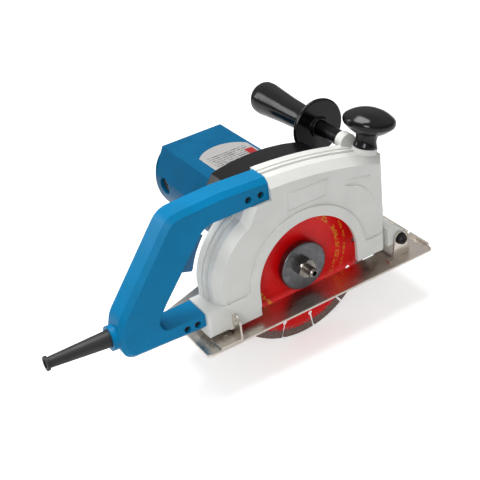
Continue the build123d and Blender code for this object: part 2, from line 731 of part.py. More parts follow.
brush_length = 14.0
brush_contact = sqrt(14.0**2 - 5.0**2) + 1.2
with BuildPart() as carbon_brushes:
    for sign in (-1, 1):
        with Locations((motor_x + sign * (brush_contact + brush_length / 2), brush_y, brush_z)):
            Box(brush_length, 7.9, 5.9)
    add(ring(motor_axis, 0, 14.05, 130, 170), mode=Mode.SUBTRACT)
keep(carbon_brushes, "carbon_brushes")

with BuildPart() as brush_springs:
    for sign in (-1, 1):
        start = (motor_x + sign * (brush_contact + brush_length + 0.5), brush_y, brush_z)
        add(coil(start, (sign, 0, 0), 2.1, 0.35, cap_seat - brush_contact - brush_length - 2, 6))
keep(brush_springs, "brush_springs")

with BuildPart() as brush_caps:
    for sign in (-1, 1):
        start = (motor_x + sign * (cap_seat - 0.8), brush_y, brush_z)
        add(rod(start, (sign, 0, 0), cap_radius, 4.5))
        with Locations((motor_x + sign * (cap_seat + 3.5), brush_y, brush_z)):
            Box(3, 11, 1.6, mode=Mode.SUBTRACT)
keep(brush_caps, "brush_caps")

# ---------------------------------------------------------------- handle
arm_end = case_top_left[0]
with BuildSketch() as handle_outline:
    with BuildLine():
        Polyline((arm_end, notch_z + 0.5), (arm_end, 117.5), (-84, 120), handle_knee,
                 (-206, 32), (-211, 13), handle_heel, (case_left, -17.5), (case_left, 1.5), (-160, 1.5))
        ThreePointArc((-160, 1.5), (-167.5, 9), (-165, 21))
        Polyline((-165, 21), (-158, 31), (-115, 84))
        ThreePointArc((-115, 84), (-108, 91.5), (-98, notch_z + 0.5))
        Line((-98, notch_z + 0.5), (arm_end, notch_z + 0.5))
    make_face()
    for corner, radius in ((handle_knee, knee_radius), (handle_heel, heel_radius), ((-206, 32), 30),
                           ((-211, 13), 12)):
        fillet(handle_outline.vertices().sort_by_distance((*corner, 0))[0], radius)
handle_face = handle_outline.sketch.face()
guard_direction = (guard_tip[0] - guard_root[0], 0, guard_tip[1] - guard_root[1])
guard_length = sqrt(guard_direction[0]**2 + guard_direction[2]**2)
guard_start = (guard_root[0], handle_mid_y, guard_root[1])
collar_start = (-203, handle_mid_y, guard_root[1])
trigger_pivot = (-113.0, 92.0)
trigger_window = [(-100, 88), (-119, 44), (-139, 49.5), (-148, 60), (-126, 92), (-112, 98)]


def handle_shell(outer_y, outward):
    """One moulded half of the handle, hollow, from the mid plane to its outer face."""
    depth = abs(outer_y - handle_mid_y)
    low, high = min(outer_y, handle_mid_y), max(outer_y, handle_mid_y)
    with BuildPart() as piece:
        with BuildSketch(side(high)):
            add(handle_face)
        extrude(amount=depth)
        # only the rim the palm lies on is chamfered, from the top arm round to the cord guard
        rim = piece.faces().sort_by(Axis.Y)[0 if outward < 0 else -1].edges()
        rim = rim.filter_by(lambda e: e.center().X < arm_end - 1 and e.center().Z > -14)
        outer_rim = rim.filter_by(lambda e: e.center().Z > 110 or e.center().X < -170
                                  or e.center().X < -150 and e.center().Z > 95)
        chamfer(outer_rim, handle_edge)
        hollow_low, hollow_high = low, high
        if outward < 0:
            hollow_low += handle_wall
        else:
            hollow_high -= handle_wall
        with BuildSketch(side(hollow_high)):
            add(handle_face)
            offset(amount=-handle_wall - 1.5, kind=Kind.INTERSECTION)
        extrude(amount=hollow_high - hollow_low, mode=Mode.SUBTRACT)
    return piece.part


for name, outer_y, outward in (("handle_near_shell", handle_near_y, -1),
                               ("handle_far_shell", handle_far_y, 1)):
    low, high = sorted((outer_y, handle_mid_y))
    with BuildPart() as shell:
        add(handle_shell(outer_y, outward))
        # half of the collar round the cord guard, and half of its socket
        add(rod(collar_start, guard_direction, 12.5, 12))
        # open ends over the tongues of the case, the screw bosses and the trigger's window
        for x, z in handle_screw_places:
            wall = high if outward > 0 else low
            face = tongue_high if outward > 0 else tongue_low
            add(ring((x, z), 0, 5, min(wall, face), max(wall, face)))
        low_window = trigger_gap + trigger_half_width
        add(plate_from(trigger_window, handle_mid_y - low_window, handle_mid_y + low_window),
            mode=Mode.SUBTRACT)
        tongue_room = [(-70, 96.5), (arm_end + 1, 96.5), (arm_end + 1, 110.5), (-70, 110.5)]
        add(plate_from(tongue_room, tongue_low, tongue_high), mode=Mode.SUBTRACT)
        tongue_room = [(-150, -14.2), (case_left + 1, -14.2), (case_left + 1, -0.8), (-150, -0.8)]
        add(plate_from(tongue_room, tongue_low, tongue_high), mode=Mode.SUBTRACT)
        for x, z in handle_screw_places:
            add(ring((x, z), 0, handle_screw_radius, -30, 30), mode=Mode.SUBTRACT)
            if outward < 0:
                add(ring((x, z), 0, screw_recess_radius, -30, handle_near_y + 4.5), mode=Mode.SUBTRACT)
        add(rod(guard_start, guard_direction, 9.0, 40), mode=Mode.SUBTRACT)
        half = [(-400, -100), (0, -100), (0, 200), (-400, 200)]
        add(plate_from(half, low, high), mode=Mode.INTERSECT)
        # the far half carries the trigger pin, the switch and the lock button
        if outward > 0:
            add(ring(trigger_pivot, 0, 4.5, handle_mid_y + trigger_half_width + trigger_gap, high - 2))
            add(ring((-152, 84), 0, 4.6, 0, 20), mode=Mode.SUBTRACT)
        else:
            add(ring(trigger_pivot, 0, 4.5, low + 2, handle_mid_y - trigger_half_width - trigger_gap))
        add(ring(trigger_pivot, 0, 1.6, low + 2, high - 1), mode=Mode.SUBTRACT)
    keep(shell, name)

trigger_back = handle_mid_y + trigger_half_width
trigger_front = handle_mid_y - trigger_half_width
with BuildPart() as trigger:
    with BuildSketch(side(trigger_back)):
        with BuildLine():
            Polyline((-113, 88), (-106, 82))
            ThreePointArc((-106, 82), (-114.5, 69), (-121.5, 52))
            Polyline((-121.5, 52), (-123, 49), (-138.5, 54), (-136, 66), (-122, 88), (-117, 95),
                     (-110, 95), (-109, 90), (-113, 88))
        make_face()
    extrude(amount=2 * trigger_half_width)
    add(ring(trigger_pivot, 0, 1.5 + running_clearance, -30, 30), mode=Mode.SUBTRACT)
keep(trigger, "trigger")

with BuildPart() as trigger_pin:
    add(ring(trigger_pivot, 0, 1.5, handle_near_y + 3, handle_far_y - 2))
keep(trigger_pin, "trigger_pin")

grip_angle = 50.0
switch_centre = (-154.0, 69.0)
switch_across, switch_along, switch_half_width = 20.0, 36.0, 9.0
grip_across = (cos(radians(grip_angle - 90)), sin(radians(grip_angle - 90)))
with BuildPart() as switch_body:
    with BuildSketch(side(handle_mid_y + switch_half_width)):
        with Locations(Location((*switch_centre, 0), (0, 0, grip_angle))):
            Rectangle(switch_along, switch_across)
            with Locations((4, -switch_across / 2 - 1)):
                Rectangle(8, 2)
    extrude(amount=2 * switch_half_width)
    add(ring((-152, 84), 0, 5.0, 3, 20), mode=Mode.SUBTRACT)
keep(switch_body, "switch_body")

plunger = (switch_across / 2 + 2)
spring_start = (switch_centre[0] + plunger * grip_across[0] + 4 * cos(radians(grip_angle)) + 0.4,
                handle_mid_y,
                switch_centre[1] + plunger * grip_across[1] + 4 * sin(radians(grip_angle)) - 0.3)
with BuildPart() as trigger_spring:
    add(coil(spring_start, (grip_across[0], 0, grip_across[1]), 2.6, 0.4, 3.6, 4))
keep(trigger_spring, "trigger_spring")

lock_place = (-152.0, 84.0)
lock_travel = 3.0
with BuildPart() as lock_button:
    tip = handle_far_y + lock_travel + 1
    add(turned(lock_place, [(0, handle_mid_y + 9.5), (2, handle_mid_y + 9.5), (2, 8.2), (4.5, 8.2),
                            (4.5, tip - 0.8), (3.7, tip), (0, tip)]))
keep(lock_button, "lock_button")

with BuildPart() as lock_spring:
    add(coil((lock_place[0], 3.5, lock_place[1]), (0, 1, 0), 3.0, 0.4, 4.2, 3))
keep(lock_spring, "lock_spring")

with BuildPart() as cord_guard:
    with BuildSketch(Plane.XZ.offset(-handle_mid_y)):
        with BuildLine():
            Polyline((0, cord_bore_radius), (0, 8.9), (12, 8.9), (guard_length - 3, 5.4),
                     (guard_length - 3, 7.2), (guard_length, 7.2), (guard_length, cord_bore_radius),
                     close=True)
        make_face()
    revolve(axis=Axis((0, handle_mid_y, 0), (1, 0, 0)))
guard_place = Plane(guard_start, x_dir=guard_direction, z_dir=(0, 1, 0)).location
cord_guard.part = guard_place * (Location((0, -handle_mid_y, 0)) * cord_guard.part)
keep(cord_guard, "cord_guard")

with BuildPart() as cord_clamp:
    with Locations((-188, handle_mid_y, 16.5)):
        Box(9, 22, 4)
    add(rod((-200, handle_mid_y, 9.8), (1, 0, 0), 4.6, 30), mode=Mode.SUBTRACT)
    for side_sign in (-1, 1):
        add(rod((-188, handle_mid_y + side_sign * 8, 13), (0, 0, 1), 1.6, 8), mode=Mode.SUBTRACT)
        add(rod((-188, handle_mid_y + side_sign * 8, 6), (0, 0, 1), 1.6, 12.5))
        add(rod((-188, handle_mid_y + side_sign * 8, 18.5), (0, 0, 1), 2.8, 1.8))
keep(cord_clamp, "cord_clamp")

with BuildPart() as handle_screws:
    head_y = handle_near_y + 4.5
    for place in handle_screw_places:
        add(turned(place, [(0, head_y - 2.4), (2.4, head_y - 2.4), (3.3, head_y - 1.6),
                           (3.3, head_y), (handle_screw_radius, head_y),
                           (handle_screw_radius, handle_far_y - 1.5), (0, handle_far_y - 1.5)]))
        with BuildSketch(side(head_y - 1)):
            with Locations(place):
                Rectangle(4, 0.8)
                Rectangle(0.8, 4)
        extrude(amount=3, mode=Mode.SUBTRACT)
keep(handle_screws, "handle_screws")

# ---------------------------------------------------------------- sole
sole_bottom = sole_top - sole_thickness
corner_cut = [(sole_left, 54.5), (-73, sole_far)]
with BuildPart() as base_plate:
    with BuildSketch(Plane.XY.offset(sole_bottom)):
        with BuildLine():
            Polyline((sole_left, sole_near), (sole_right, sole_near), (sole_right, sole_far),
                     corner_cut[1], corner_cut[0], (sole_left, sole_near))
        make_face()
        fillet(vertices(), 5)
        with Locations((0, 0)):
            Rectangle(2 * (blade_radius + blade_slot_margin), 2 * blade_slot_half,
                      mode=Mode.SUBTRACT)
    extrude(amount=sole_thickness)
    with BuildSketch(Plane.XY.offset(sole_top)):
        with Locations((sole_right - sole_thickness / 2, (sole_near + sole_far) / 2)):
            Rectangle(sole_thickness, sole_far - sole_near - 12)
        with Locations((sole_right - sole_thickness / 2, 0)):
            Rectangle(10, 4, mode=Mode.SUBTRACT)
    extrude(amount=lip_height)
keep(base_plate, "base_plate")

near_ear_y, far_ear_y = case_near_y - 0.3, case_far_y + 0.3
with BuildPart() as front_bracket:
    ear = [(pivot_x - 10, sole_top), (pivot_x + 11, sole_top), (pivot_x + 11, sole_top + 6),
           (pivot_x + 7, pivot_z), (pivot_x - 7, pivot_z), (pivot_x - 10, sole_top + 6)]
    for low in (near_ear_y - bracket_thickness, far_ear_y):
        add(plate_from(ear, low, low + bracket_thickness))
        add(ring((pivot_x, pivot_z), 0, 7, low, low + bracket_thickness))
    with Locations((pivot_x + 0.5, (near_ear_y + far_ear_y) / 2, sole_top + bracket_thickness / 2)):
        Box(21, far_ear_y - near_ear_y + 2 * bracket_thickness, bracket_thickness)
    with Locations((pivot_x - 14, near_ear_y - 3, sole_top + bracket_thickness / 2)):
        Box(10, 8, bracket_thickness)
    add(ring((pivot_x, pivot_z), 0, pivot_radius, -40, 40), mode=Mode.SUBTRACT)
keep(front_bracket, "front_bracket")

bolt_head_y = near_ear_y - bracket_thickness
with BuildPart() as pivot_bolt:
    tail = far_ear_y + bracket_thickness + 7
    add(turned((pivot_x, pivot_z), [(0, bolt_head_y - 5.5), (4.6, bolt_head_y - 5.5),
                                    (5.4, bolt_head_y - 4.6), (5.4, bolt_head_y - 1.4),
                                    (6.6, bolt_head_y - 1.4), (6.6, bolt_head_y),
                                    (pivot_radius, bolt_head_y), (pivot_radius, tail), (0, tail)]))
    with BuildSketch(side(bolt_head_y - 4.5)):
        with Locations((pivot_x, pivot_z)):
            Rectangle(7, 1.3)
            Rectangle(1.3, 7)
    extrude(amount=3, mode=Mode.SUBTRACT)
keep(pivot_bolt, "pivot_bolt")

with BuildPart() as pivot_nut:
    with BuildSketch(side(far_ear_y + bracket_thickness + 6)):
        with Locations((pivot_x, pivot_z)):
            RegularPolygon(6.5, 6, major_radius=False)
            Circle(pivot_radius, mode=Mode.SUBTRACT)
    extrude(amount=6)
keep(pivot_nut, "pivot_nut")

ear_x, ear_y, ear_z, ear_radius, fence_hole_radius = -95.3, -31.4, -12.0, 7.0, 4.0
with BuildPart() as rear_bracket:
    foot_left, foot_near, foot_far = -118.5, -38.0, -18.0
    with Locations(((foot_left + ear_x) / 2, (foot_near + foot_far) / 2, sole_top + 1)):
        Box(ear_x - foot_left, foot_far - foot_near, 2)
    for dimple in ((-105, -24), (-103.5, -33)):
        with Locations((*dimple, sole_top + 2)):
            Cylinder(1.4, 0.6, mode=Mode.SUBTRACT)
    with BuildSketch(Plane.YZ.offset(ear_x)):
        with Locations((ear_y, (ear_z + sole_top) / 2)):
            Rectangle(2 * ear_radius, ear_z - sole_top)
        with Locations((ear_y, ear_z)):
            Circle(ear_radius)
            Circle(fence_hole_radius, mode=Mode.SUBTRACT)
    extrude(amount=bracket_thickness)
keep(rear_bracket, "rear_bracket")

stay_near = case_far_y + 1.0
stay_far = stay_near + stay_thickness
stay_slot_half = depth_bolt_radius + 0.3
stay_high_angle = depth_bolt_angle - stay_travel
with BuildPart() as depth_stay:
    with BuildSketch(side(stay_far)):
        with Locations((pivot_x, pivot_z)):
            Circle(stay_radius + stay_half_width)
            Circle(stay_radius - stay_half_width, mode=Mode.SUBTRACT)
    extrude(amount=stay_thickness)
    reach = stay_radius + 30
    low_turn, high_turn = radians(depth_bolt_angle + 5.0), radians(stay_high_angle - 2.5)
    wedge = [(pivot_x, pivot_z),
             (pivot_x + reach * cos(low_turn), pivot_z + reach * sin(low_turn)),
             (pivot_x + reach * cos(high_turn), pivot_z + reach * sin(high_turn))]
    add(plate_from(wedge, stay_near, stay_far), mode=Mode.INTERSECT)
    leg_x = depth_bolt_place[0]
    leg = [(leg_x - 8, sole_top), (leg_x + 12, sole_top), (leg_x + 7, -14), (leg_x - 7, -14)]
    add(plate_from(leg, stay_near, stay_far))
    with Locations((leg_x + 2, stay_near + 11, sole_top + 1)):
        Box(20, 22, 2)
    # curved slot that slides past the depth bolt
    with BuildSketch(side(stay_far)):
        middle = radians((depth_bolt_angle + stay_high_angle) / 2)
        first, last = radians(depth_bolt_angle), radians(stay_high_angle)
        with BuildLine() as slot_line:
            ThreePointArc(*[(pivot_x + stay_radius * cos(a), pivot_z + stay_radius * sin(a))
                            for a in (first, middle, last)])
        SlotArc(slot_line.edges()[0], 2 * stay_slot_half)
    extrude(amount=stay_thickness, mode=Mode.SUBTRACT)
keep(depth_stay, "depth_stay")

with BuildPart() as depth_bolt:
    outline = [(0, 2.5), (5.5, 2.5), (5.5, 5.0), (depth_bolt_radius, 5.0)]
    outline += [(depth_bolt_radius, 30), (0, 30)]
    add(turned(depth_bolt_place, outline))
keep(depth_bolt, "depth_bolt")

lever_near = stay_far + 1.3
with BuildPart() as depth_washer:
    add(ring(depth_bolt_place, depth_bolt_radius, 7, stay_far + 0.3, stay_far + 1.2))
keep(depth_washer, "depth_washer")

with BuildPart() as depth_lever:
    x, z = depth_bolt_place
    add(ring(depth_bolt_place, 0, 7.5, lever_near, lever_near + 9))
    arm = [(x - 4.5, z), (x + 4.5, z), (x + 5, z + 40), (x - 1, z + 40)]
    add(plate_from(arm, lever_near + 3, lever_near + 8))
    add(ring((x + 2, z + 40), 0, 5, lever_near + 2, lever_near + 9))
    add(ring(depth_bolt_place, 0, depth_bolt_radius + running_clearance, 0, 40),
        mode=Mode.SUBTRACT)
keep(depth_lever, "depth_lever")

# ---------------------------------------------------------------- knob and side handle
with BuildPart() as front_knob:
    with BuildSketch(Plane.XZ):
        with BuildLine():
            Polyline((14, 17), (4, 17), (4, 0), (knob_neck_radius, 0), (knob_neck_radius, 2))
            ThreePointArc((knob_neck_radius, 2), (10.8, 8), (14, 17))
        make_face()
        with BuildLine():
            Polyline((14, 15), (0, 20), (0, knob_top))
            ThreePointArc((0, knob_top), (13, knob_top - 1.8), (knob_radius - 3, knob_rim + 5.5))
            ThreePointArc((knob_radius - 3, knob_rim + 5.5), (knob_radius, knob_rim),
                          (knob_radius - 3, knob_rim - 5))
            ThreePointArc((knob_radius - 3, knob_rim - 5), (20, knob_rim - 8.6), (14, 15))
        make_face()
    revolve(axis=Axis.Z)
front_knob.part = Location(knob_base, (0, knob_lean, 0)) * front_knob.part
keep(front_knob, "front_knob")

with BuildPart() as knob_stud:
    add(rod(tuple(knob_base[i] - 14 * knob_up[i] for i in range(3)), knob_up, 4, 30))
keep(knob_stud, "knob_stud")

side_axis = (side_x, side_z)
case_boss_y = side_boss_y + 10.5
grip_start_y = hand_guard_y + 6
with BuildPart() as side_handle_rod:
    stud_y = side_boss_y + 1
    outline = [(0, stud_y), (side_stud_radius, stud_y), (side_stud_radius, case_boss_y)]
    outline += [(side_rod_radius, case_boss_y), (side_rod_radius, grip_start_y + 2)]
    outline += [(side_stud_radius, grip_start_y + 2), (side_stud_radius, grip_end_y - 30)]
    outline += [(0, grip_end_y - 30)]
    add(turned(side_axis, outline))
keep(side_handle_rod, "side_handle_rod")

with BuildPart() as hand_guard:
    outline = [(side_rod_radius, hand_guard_y - 4), (10.5, hand_guard_y - 4)]
    outline += [(11.5, hand_guard_y), (hand_guard_radius - 1.5, hand_guard_y)]
    outline += [(hand_guard_radius, hand_guard_y + 1.5), (hand_guard_radius, hand_guard_y + 3)]
    outline += [(hand_guard_radius - 1, hand_guard_y + 4), (14, hand_guard_y + 4)]
    outline += [(14, grip_start_y), (side_rod_radius, grip_start_y)]
    add(turned(side_axis, outline))
keep(hand_guard, "hand_guard")

with BuildPart() as side_handle_grip:
    start, end = grip_start_y, grip_end_y
    outline = [(side_rod_radius, start), (14, start), (13.6, start + 20), (15, start + 50)]
    outline += [(17.5, end - 24), (18.5, end - 14), (18.2, end - 6), (15.5, end - 1.5), (11, end)]
    outline += [(0, end), (0, end - 30), (side_stud_radius, end - 30)]
    outline += [(side_stud_radius, start + 2), (side_rod_radius, start + 2)]
    add(turned(side_axis, outline))
keep(side_handle_grip, "side_handle_grip")
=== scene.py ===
import math

import bmesh
import bpy
from mathutils import Matrix, Vector


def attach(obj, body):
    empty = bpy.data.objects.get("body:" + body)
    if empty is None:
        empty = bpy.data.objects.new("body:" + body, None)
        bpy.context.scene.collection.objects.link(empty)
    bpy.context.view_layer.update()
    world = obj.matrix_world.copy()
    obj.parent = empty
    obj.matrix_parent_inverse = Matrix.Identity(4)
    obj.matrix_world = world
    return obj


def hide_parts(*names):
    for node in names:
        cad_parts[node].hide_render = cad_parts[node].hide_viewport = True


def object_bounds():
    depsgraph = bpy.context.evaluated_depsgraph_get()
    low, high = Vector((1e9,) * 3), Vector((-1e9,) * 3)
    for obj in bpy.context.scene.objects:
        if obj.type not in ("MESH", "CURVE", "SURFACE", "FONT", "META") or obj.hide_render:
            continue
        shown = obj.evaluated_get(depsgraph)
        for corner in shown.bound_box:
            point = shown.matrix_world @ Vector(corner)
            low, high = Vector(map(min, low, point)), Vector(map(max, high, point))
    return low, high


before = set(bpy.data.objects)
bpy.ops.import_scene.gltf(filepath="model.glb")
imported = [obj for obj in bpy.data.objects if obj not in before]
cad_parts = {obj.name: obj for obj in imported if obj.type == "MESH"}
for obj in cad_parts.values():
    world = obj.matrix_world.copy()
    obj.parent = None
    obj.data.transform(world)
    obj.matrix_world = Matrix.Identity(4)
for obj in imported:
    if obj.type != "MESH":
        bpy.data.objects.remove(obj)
cad_low, cad_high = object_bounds()
mm = 0.001


# ---------------------------------------------------------------- blade case
# The blade case is one aluminium die casting that carries the whole saw. It is sprayed
# light grey over a fine cast grain, and its cast edges are rounded. The name frame and
# the turning arrow on its face are cast with it, about a millimetre proud.


class Shade:
    """A socket of a finish. Sums of shades add Math nodes, and node() adds any other node."""

    def __init__(self, tree, socket=None):
        self.tree = tree
        self.socket = socket

    def node(self, kind, settings=None, inputs=None, output=0):
        made = self.tree.nodes.new(kind)
        for setting, value in (settings or {}).items():
            setattr(made, setting, value)
        for name, value in (inputs or {}).items():
            if isinstance(value, Shade):
                self.tree.links.new(value.socket, made.inputs[name])
            else:
                made.inputs[name].default_value = value
        return Shade(self.tree, made.outputs[output])

    def maths(self, operation, *values):
        return self.node("ShaderNodeMath", {"operation": operation}, dict(enumerate(values)))

    def __add__(self, other):
        return self.maths("ADD", self, other)

    __radd__ = __add__

    def __sub__(self, other):
        return self.maths("SUBTRACT", self, other)

    def __rsub__(self, other):
        return self.maths("SUBTRACT", other, self)

    def __mul__(self, other):
        return self.maths("MULTIPLY", self, other)

    __rmul__ = __mul__

    def __gt__(self, other):
        return self.maths("GREATER_THAN", self, other)

    def __lt__(self, other):
        return self.maths("LESS_THAN", self, other)

    def colours(self, first, second):
        """Goes from the first colour to the second as this shade goes from 0 to 1."""
        return self.node("ShaderNodeMix", {"data_type": "RGBA"}, {0: self, 6: first, 7: second}, 2)

    def noise(self, size, detail=3.0, stretch=(1, 1, 1)):
        """Soft noise between 0 and 1 whose spots are about size metres across."""
        place = self.node("ShaderNodeTexCoord", output="Object")
        place = self.node("ShaderNodeMapping", inputs={0: place, "Scale": stretch})
        inputs = {"Vector": place, "Scale": 1 / size, "Detail": detail}
        return self.node("ShaderNodeTexNoise", inputs=inputs)

    def spread(self, low, high, to_low=0.0, to_high=1.0):
        """This shade with its range from low to high stretched to another range, and clipped there."""
        return self.node("ShaderNodeMapRange", inputs={0: self, 1: low, 2: high, 3: to_low, 4: to_high})

    def bump(self, height):
        """The normal of a surface that this shade lifts by up to height metres."""
        return self.node("ShaderNodeBump", inputs={"Strength": 1.0, "Distance": height, "Height": self})


def colour(red, green, blue):
    """A paint chip's red, green and blue, 0 to 255, as the linear colour that shaders take."""
    chip = [c / 255 for c in (red, green, blue)]
    return [c / 12.92 if c <= 0.04045 else ((c + 0.055) / 1.055) ** 2.4 for c in chip] + [1.0]


def finish(name, tint, roughness, metallic=0.0, **constants):
    """A finish with one principled shader. Its constants sit on the shader's own sockets."""
    material = bpy.data.materials.new(name)
    material.use_nodes = True
    sockets = material.node_tree.nodes["Principled BSDF"].inputs
    sockets["Base Color"].default_value = tint
    sockets["Roughness"].default_value = roughness
    sockets["Metallic"].default_value = metallic
    for socket, value in constants.items():
        sockets[socket.replace("_", " ")].default_value = value
    return material


def feed(material, **shades):
    """Links shades to the sockets of a finish's shader."""
    sockets = material.node_tree.nodes["Principled BSDF"].inputs
    for socket, shade in shades.items():
        material.node_tree.links.new(shade.socket, sockets[socket.replace("_", " ")])


def grained(name, tint, dark, roughness, grain, height, patches=0.03, metallic=0.0, **constants):
    """A sprayed, cast or moulded surface: slow patches of a darker tint over a fine even grain."""
    material = finish(name, tint, roughness, metallic, **constants)
    start = Shade(material.node_tree)
    patch = start.noise(patches)
    feed(
        material,
        Base_Color=patch.spread(0.35, 0.7).colours(tint, dark),
        Roughness=patch.spread(0.3, 0.7, roughness - 0.04, roughness + 0.06),
        Normal=start.noise(grain, 2.0).bump(height),
    )
    return material


def tidy_mesh(mesh, sharp=35):
    """Smooth faces that keep their edges where the surface turns by more than the sharp angle."""
    mesh.shade_smooth()
    mesh.set_sharp_from_angle(angle=math.radians(sharp))


def new_piece(name, mesh, body, material):
    """A finished piece at the origin, which rides on a body."""
    mesh.name = name
    mesh.materials.clear()
    mesh.materials.append(material)
    piece = bpy.data.objects.new(name, mesh)
    bpy.context.scene.collection.objects.link(piece)
    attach(piece, body)
    return piece


def plain_copy(node):
    """A copy of a CAD node's mesh with its loose triangles merged and its flat faces made whole."""
    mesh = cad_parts[node].data.copy()
    work = bmesh.new()
    work.from_mesh(mesh)
    bmesh.ops.remove_doubles(work, verts=work.verts, dist=0.002 * mm)
    bmesh.ops.dissolve_limit(work, angle_limit=math.radians(0.6), verts=work.verts, edges=work.edges)
    work.to_mesh(mesh)
    work.free()
    return mesh


def rounded_mesh(mesh, radius, turns=3, sharp=28):
    """The mesh with every sharp edge rounded off, as casting, moulding or deburring leaves it."""
    carrier = bpy.data.objects.new("rounding", mesh)
    bpy.context.scene.collection.objects.link(carrier)
    bevel = carrier.modifiers.new("Rounding", "BEVEL")
    bevel.width = radius
    bevel.segments = turns
    bevel.limit_method = "ANGLE"
    bevel.angle_limit = math.radians(sharp)
    bevel.miter_outer = "MITER_ARC"
    weights = carrier.modifiers.new("Weights", "WEIGHTED_NORMAL")
    weights.keep_sharp = True
    bpy.context.view_layer.update()
    made = bpy.data.meshes.new_from_object(carrier.evaluated_get(bpy.context.evaluated_depsgraph_get()))
    bpy.data.objects.remove(carrier)
    return made


def softened(node, radius, body, material, turns=3, sharp=28):
    """A CAD node's shape with its edges rounded off, which stands for that node."""
    mesh = plain_copy(node)
    tidy_mesh(mesh)
    piece = new_piece(node + "_finish", rounded_mesh(mesh, radius, turns, sharp), body, material)
    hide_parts(node)
    return piece


case_grey = colour(214, 215, 211)
case_paint = grained("case_paint", case_grey, colour(206, 207, 203), 0.34, 0.9 * mm, 0.012 * mm,
                     Specular_IOR_Level=0.45, Coat_Weight=0.15, Coat_Roughness=0.3)
softened("blade_case", 1.1 * mm, "machine", case_paint)


def cast_line(name, runs, width, height, face_y):
    """Raised lines on the face of the case: each run of (x, z) points is one ridge with a rounded top."""
    curve = bpy.data.curves.new(name, "CURVE")
    curve.dimensions = "3D"
    curve.bevel_depth = width / 2
    curve.bevel_resolution = 3
    curve.use_fill_caps = True
    for points, closed in runs:
        spline = curve.splines.new("POLY")
        spline.points.add(len(points) - 1)
        spline.use_cyclic_u = closed
        for point, (x, z) in zip(spline.points, points):
            point.co = (x, face_y, z, 1)
    carrier = bpy.data.objects.new(name, curve)
    bpy.context.scene.collection.objects.link(carrier)
    mesh = bpy.data.meshes.new_from_object(carrier.evaluated_get(bpy.context.evaluated_depsgraph_get()))
    bpy.data.objects.remove(carrier)
    mesh.transform(Matrix.Translation((0, face_y, 0)) @ Matrix.Diagonal((1, 2 * height / width, 1, 1))
                   @ Matrix.Translation((0, -face_y, 0)))
    tidy_mesh(mesh, 50)
    return new_piece(name, mesh, "machine", case_paint)


def arc(centre, radius, start, end, steps):
    """Points (x, z) on an arc between two angles in degrees."""
    angles = [math.radians(start + (end - start) * i / steps) for i in range(steps + 1)]
    return [(centre[0] + radius * math.cos(a), centre[1] + radius * math.sin(a)) for a in angles]


face_y = -22.0 * mm
name_frame = [(-0.016, 0.094), (0.030, 0.0935), (0.0284, 0.0763), (-0.018, 0.076)]
arrow_head = [(0.0815, 0.0728), (0.0815, 0.0765), (0.058, 0.0805), (0.0505, 0.0783), (0.060, 0.0735)]
arrow_tail = arc((0.047, 0.038), 0.0385, 68, 12, 10)
cast_line("name_frame", [(name_frame, True)], 1.3 * mm, 0.9 * mm, face_y)
cast_line("turning_arrow", [(arrow_head, False), (arrow_tail, False)], 2.4 * mm, 1.4 * mm, face_y)


# ---------------------------------------------------------------- gear housing
# The gear housing closes the back of the case and holds the bearings. It is cast, painted
# satin black, and held by four plated socket screws with washers.

black_paint = grained("black_paint", colour(13, 13, 15), colour(8, 8, 10), 0.24, 1.2 * mm, 0.012 * mm,
                      Specular_IOR_Level=0.3)
softened("gear_housing", 1.2 * mm, "machine", black_paint)


def turned_metal(name, tint, roughness, grain=0.25 * mm, height=0.004 * mm):
    """Machined or drawn metal: a fine even grain, and darker patches where fingers dulled its gloss."""
    material = finish(name, tint, roughness, 1.0)
    start = Shade(material.node_tree)
    patch = start.noise(6 * mm, 4.0)
    fine = start.noise(grain, 2.0)
    dulled = 0.72
    dark = [c * dulled for c in tint[:3]] + [1.0]
    feed(
        material,
        Base_Color=patch.spread(0.35, 0.75).colours(tint, dark),
        Roughness=patch.spread(0.3, 0.7, roughness - 0.05, roughness + 0.09),
        Normal=fine.bump(height),
    )
    return material


zinc_steel = turned_metal("zinc_steel", colour(205, 205, 200), 0.28)
softened("gear_housing_screws", 0.3 * mm, "machine", zinc_steel, 2)


# ---------------------------------------------------------------- motor
# The motor can and its end cover are moulded in blue glass-filled nylon with a light spark
# grain. The brush caps screw into their sides, and the foil rating plate is stuck on top.

# The motor's blue is painted darker than the handle's, though both are one nylon: painted shade that holds
# down its top under the overhead light.
blue = colour(0, 88, 128)
blue_plastic = grained("blue_plastic", blue, colour(0, 82, 120), 0.33, 0.6 * mm, 0.01 * mm,
                       Specular_IOR_Level=0.08)
softened("motor_housing", 1.4 * mm, "machine", blue_plastic)
softened("motor_end_cover", 0.8 * mm, "machine", blue_plastic, 2)
softened("motor_screws", 0.3 * mm, "machine", zinc_steel, 2)

black_plastic = grained("black_plastic", colour(24, 24, 25), colour(18, 18, 19), 0.42, 0.6 * mm, 0.01 * mm)
softened("brush_caps", 0.4 * mm, "machine", black_plastic, 2)

label_foil = finish("label_foil", colour(196, 196, 196), 0.32, 0.55)
start = Shade(label_foil.node_tree)
place = start.node("ShaderNodeTexCoord", output="Object")
across = start.node("ShaderNodeSeparateXYZ", inputs={0: place}, output="X")
along = start.node("ShaderNodeSeparateXYZ", inputs={0: place}, output="Y")
line_pitch = 4.2 * mm
blank_between_lines = 0.62
rows = along * (1 / line_pitch)
row = rows.maths("FRACT", rows)
words = start.noise(1.1 * mm, 2.0, stretch=(1, 0.12, 1))
printed = (row > blank_between_lines) * (words > 0.47) * (along > 68 * mm) * (along < 106 * mm)
printed = printed * (across < 14 * mm) * (across > -32 * mm)
band = (along < 96 * mm) * (along > 74 * mm) * (across > 9 * mm) * (across < 18 * mm)
inked = printed.colours(colour(196, 194, 192), colour(60, 60, 62))
feed(
    label_foil,
    Base_Color=band.colours(inked, colour(190, 40, 44)),
    Normal=start.noise(3 * mm).bump(0.03 * mm),
)
softened("rating_label", 0.1 * mm, "machine", label_foil, 1)


